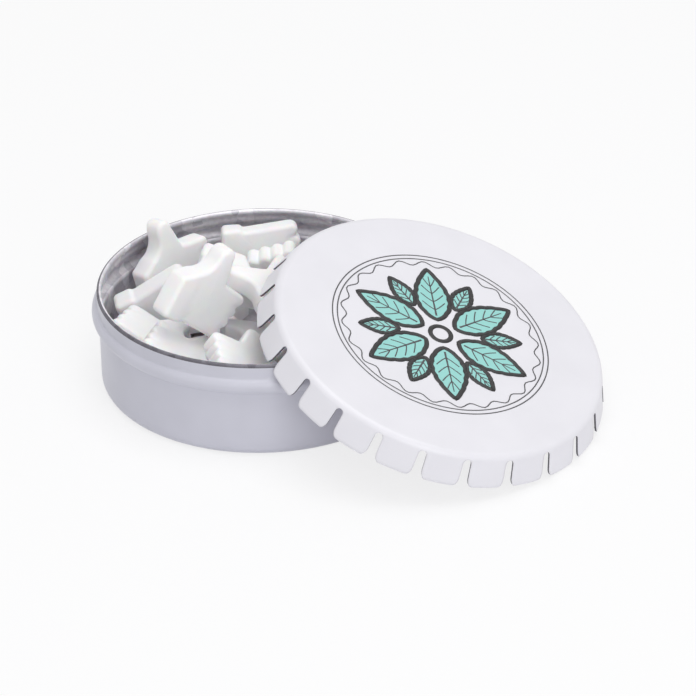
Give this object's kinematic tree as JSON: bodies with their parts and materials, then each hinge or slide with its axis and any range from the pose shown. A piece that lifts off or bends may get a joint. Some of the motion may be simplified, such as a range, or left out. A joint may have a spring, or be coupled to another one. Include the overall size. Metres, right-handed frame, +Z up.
{
  "type": "round snap-lid mint tin",
  "caption": "Open round tin heaped with fist-shaped mints; its printed snap lid, with a slotted flared skirt, leans on the beaded rim.",
  "frame": {"origin": "centre of the tin base's flat bottom, in the plane it stands on", "axes": "+Z up along the tin's axis, -Y towards the viewer of the picture, the lid leans over the +X side"},
  "size_m": [0.0817, 0.0687, 0.0266],
  "materials": {
    "tin_enamel": "satin white enamel outside, bare tinplate inside",
    "lid_enamel": "satin white enamel with a printed design, bare tinplate inside",
    "mint": "matt pressed sugar"
  },
  "bodies": {
    "base": {"tin_base": "tin_enamel", "mint_01": "mint", "mint_02": "mint", "mint_03": "mint", "mint_04": "mint", "mint_05": "mint", "mint_06": "mint", "mint_07": "mint", "mint_08": "mint", "mint_09": "mint", "mint_12": "mint", "mint_14": "mint", "mint_15": "mint", "mint_16": "mint", "mint_17": "mint", "mint_18": "mint"},
    "lid": {"lid": "lid_enamel"},
    "mint_10": {"mint_10": "mint"},
    "mint_11": {"mint_11": "mint"},
    "mint_13": {"mint_13": "mint"},
    "mint_19": {"mint_19": "mint"}
  },
  "joints": [
    {"name": "lid_lift_off", "type": "slide", "parent": "base", "child": "lid", "axis": [0.3004, -0.2042, 0.9317], "range_m": [0, 0.04]},
    {"name": "mint_10_lift_out", "type": "slide", "parent": "base", "child": "mint_10", "axis": [0, 0, 1], "range_m": [0, 0.03]},
    {"name": "mint_11_lift_out", "type": "slide", "parent": "base", "child": "mint_11", "axis": [0, 0, 1], "range_m": [0, 0.03]},
    {"name": "mint_13_lift_out", "type": "slide", "parent": "base", "child": "mint_13", "axis": [0, 0, 1], "range_m": [0, 0.03]},
    {"name": "mint_19_lift_out", "type": "slide", "parent": "base", "child": "mint_19", "axis": [0, 0, 1], "range_m": [0, 0.03]}
  ]
}
